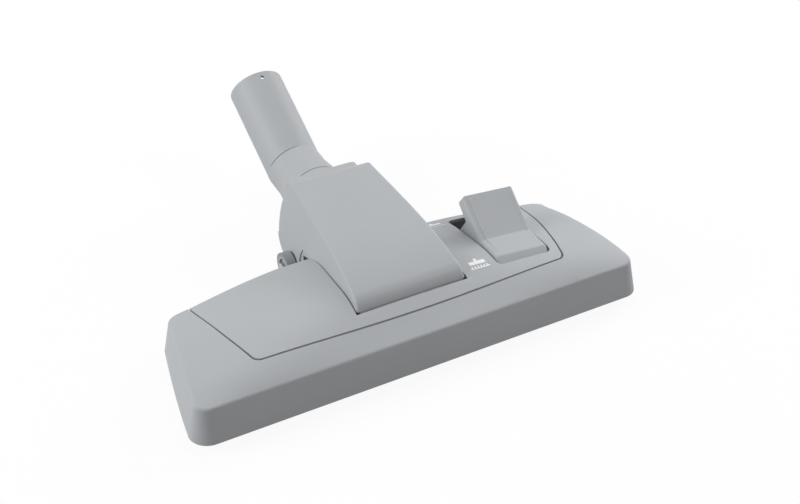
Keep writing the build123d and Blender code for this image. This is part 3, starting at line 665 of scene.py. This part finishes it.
# printed marks beside the pedal: a nozzle over the floor line, with and without its bristles
printedMarks = {
    "mottleMm": 0.8,
    "dark": "#eceeef",
    "light": "#fbfcfc",
    "castFrom": 1.0,  # height above the floor from which the cover is sought
    "ink": 0.05 * mm,
    "lift": 0.12 * mm,
    "cell": 0.5 * mm,
    "bodyWidth": 10.6 * mm,
    "bodyHeight": 2.8 * mm,
    "stemWidth": 1.6 * mm,
    "stemHeight": 2.4 * mm,
    "floorWidth": 13.0 * mm,
    "floorHeight": 0.75 * mm,
    "toothWidth": 0.75 * mm,
    "toothHeight": 1.5 * mm,
    "teeth": 6,
    "brushDown": {"centre": (47.0 * mm, -94.3 * mm), "bodyRise": 3.0 * mm, "bristles": True},
    "brushUp": {"centre": (48.2 * mm, -40.1 * mm), "bodyRise": 2.2 * mm, "bristles": False},
}


def padInk():
    # pad-printed ink: flat white with a faint mottle where the film is thin
    material, tree, place = newMaterial("pad_ink_white")
    mottle = noiseFactor(tree, place, printedMarks["mottleMm"], detail=2.0, roughness=0.6)
    colour = twoTone(tree, mottle, printedMarks["dark"], printedMarks["light"])
    closeMaterial(tree, {"Roughness": 0.5, "IOR": 1.5}, {"Base Color": colour})
    return material


def addPatch(bm, centre, width, height):
    cell = printedMarks["cell"]
    made = bmesh.ops.create_grid(bm, x_segments=max(1, round(width / cell)),
                                 y_segments=max(1, round(height / cell)), size=0.5)
    bmesh.ops.scale(bm, verts=made["verts"], vec=(width, height, 1.0))
    bmesh.ops.translate(bm, verts=made["verts"], vec=(centre[0], centre[1], 0))


def makeMark(name, mark, surface, ink):
    centreX, floorY = mark["centre"]
    bodyY = floorY + mark["bodyRise"] + printedMarks["bodyHeight"] / 2
    stemY = bodyY + (printedMarks["bodyHeight"] + printedMarks["stemHeight"]) / 2
    bm = bmesh.new()
    addPatch(bm, (centreX, floorY), printedMarks["floorWidth"], printedMarks["floorHeight"])
    addPatch(bm, (centreX, bodyY), printedMarks["bodyWidth"], printedMarks["bodyHeight"])
    addPatch(bm, (centreX, stemY), printedMarks["stemWidth"], printedMarks["stemHeight"])
    if mark["bristles"]:
        toothY = floorY + (printedMarks["floorHeight"] + printedMarks["toothHeight"]) / 2
        gap = (printedMarks["bodyWidth"] - printedMarks["toothWidth"]) / (printedMarks["teeth"] - 1)
        for i in range(printedMarks["teeth"]):
            toothX = centreX + (i - (printedMarks["teeth"] - 1) / 2) * gap
            addPatch(bm, (toothX, toothY), printedMarks["toothWidth"], printedMarks["toothHeight"])
    for v in bm.verts:
        above = Vector((v.co.x, v.co.y, printedMarks["castFrom"]))
        found = surface.ray_cast(above, Vector((0, 0, -1)))[0]
        v.co.z = found.z + printedMarks["lift"]
    bmesh.ops.recalc_face_normals(bm, faces=bm.faces[:])
    bmesh.ops.solidify(bm, geom=bm.faces[:], thickness=printedMarks["ink"])
    bmesh.ops.recalc_face_normals(bm, faces=bm.faces[:])
    makePiece(name, bm, ink, "head")


whiteInk = padInk()
coverSurface = BVHTree.FromObject(panel, bpy.context.evaluated_depsgraph_get())
for markName in ("brushDown", "brushUp"):
    makeMark(markName + "Mark", printedMarks[markName], coverSurface, whiteInk)
print("printed marks made")


# floor, studio light and camera
studio = {
    "floorSize": 12.0,
    "white": "#ffffff",
    "seenPaper": "#fafafa",
    "bouncePaper": "#a8a8a8",
    "whiteShare": 0.92,  # the rest keeps a faint shadow
    "worldStrength": 0.26,
    "lamps": {
        "topLamp": {"place": (0.1, 0.5, 1.6), "power": 7.0, "size": 1.2},
        "leftLamp": {"place": (-1.5, 0.35, 0.8), "power": 18.5, "size": 0.9},
        "rightLamp": {"place": (1.5, 0.45, 0.75), "power": 13.0, "size": 0.9},
        "frontLamp": {"place": (0.85, -0.75, 0.95), "power": 3.6, "size": 0.6},
    },
}
cameraSetup = {
    "place": (-0.28811, -0.60945, 0.48407),
    "turn": (54.649, 0.0, -28.6905),
    "lens": 58.955,
    "sensor": 36.0,
}


def whiteRays(tree):
    rays = addNode(tree, "ShaderNodeLightPath")
    first = addNode(tree, "ShaderNodeMath", {"operation": "MAXIMUM"})
    tree.links.new(rays.outputs["Is Camera Ray"], first.inputs[0])
    tree.links.new(rays.outputs["Is Glossy Ray"], first.inputs[1])
    second = addNode(tree, "ShaderNodeMath", {"operation": "MAXIMUM"})
    tree.links.new(first.outputs[0], second.inputs[0])
    tree.links.new(rays.outputs["Is Transmission Ray"], second.inputs[1])
    return second.outputs[0]


def makeFloor():
    material = bpy.data.materials.new("studio_paper")
    material.use_nodes = True
    tree = material.node_tree
    tree.nodes.clear()
    bounce = addNode(tree, "ShaderNodeBsdfDiffuse", None, {"Color": linear(studio["bouncePaper"])})
    paper = addNode(tree, "ShaderNodeBsdfDiffuse", None, {"Color": linear(studio["seenPaper"])})
    glow = addNode(tree, "ShaderNodeEmission", None,
                   {"Color": linear(studio["white"]), "Strength": 1.0})
    seen = addNode(tree, "ShaderNodeMixShader", None, {"Fac": studio["whiteShare"]})
    tree.links.new(paper.outputs["BSDF"], seen.inputs[1])
    tree.links.new(glow.outputs["Emission"], seen.inputs[2])
    mixed = addNode(tree, "ShaderNodeMixShader", None, None, {"Fac": whiteRays(tree)})
    tree.links.new(bounce.outputs["BSDF"], mixed.inputs[1])
    tree.links.new(seen.outputs["Shader"], mixed.inputs[2])
    addNode(tree, "ShaderNodeOutputMaterial", None, None, {"Surface": mixed.outputs["Shader"]})
    bm = bmesh.new()
    bmesh.ops.create_grid(bm, x_segments=1, y_segments=1, size=studio["floorSize"] / 2)
    mesh = bpy.data.meshes.new("studioFloor")
    bm.to_mesh(mesh)
    bm.free()
    mesh.materials.append(material)
    floor = bpy.data.objects.new("studioFloor", mesh)
    bpy.context.scene.collection.objects.link(floor)


def makeWorld():
    world = bpy.data.worlds.new("studioWorld")
    bpy.context.scene.world = world
    world.use_nodes = True
    tree = world.node_tree
    tree.nodes.clear()
    light = addNode(tree, "ShaderNodeBackground", None,
                    {"Color": linear(studio["white"]), "Strength": studio["worldStrength"]})
    seen = addNode(tree, "ShaderNodeBackground", None,
                   {"Color": linear(studio["white"]), "Strength": 1.0})
    mixed = addNode(tree, "ShaderNodeMixShader", None, None, {"Fac": whiteRays(tree)})
    tree.links.new(light.outputs["Background"], mixed.inputs[1])
    tree.links.new(seen.outputs["Background"], mixed.inputs[2])
    addNode(tree, "ShaderNodeOutputWorld", None, None, {"Surface": mixed.outputs["Shader"]})


def addLamp(name, place, power, size):
    lamp = bpy.data.lights.new(name, "AREA")
    lamp.energy = power
    lamp.size = size
    holder = bpy.data.objects.new(name, lamp)
    holder.location = place
    holder.rotation_euler = (-Vector(place)).to_track_quat("-Z", "Y").to_euler()
    bpy.context.scene.collection.objects.link(holder)


def addCamera():
    camera = bpy.data.cameras.new("photoCamera")
    camera.lens = cameraSetup["lens"]
    camera.sensor_width = cameraSetup["sensor"]
    camera.sensor_fit = "HORIZONTAL"
    holder = bpy.data.objects.new("photoCamera", camera)
    holder.location = cameraSetup["place"]
    holder.rotation_euler = [radians(a) for a in cameraSetup["turn"]]
    bpy.context.scene.collection.objects.link(holder)
    bpy.context.scene.camera = holder


makeFloor()
makeWorld()
for lampName, lamp in studio["lamps"].items():
    addLamp(lampName, lamp["place"], lamp["power"], lamp["size"])
addCamera()
bpy.context.scene.view_settings.view_transform = "Standard"
print("studio ready")
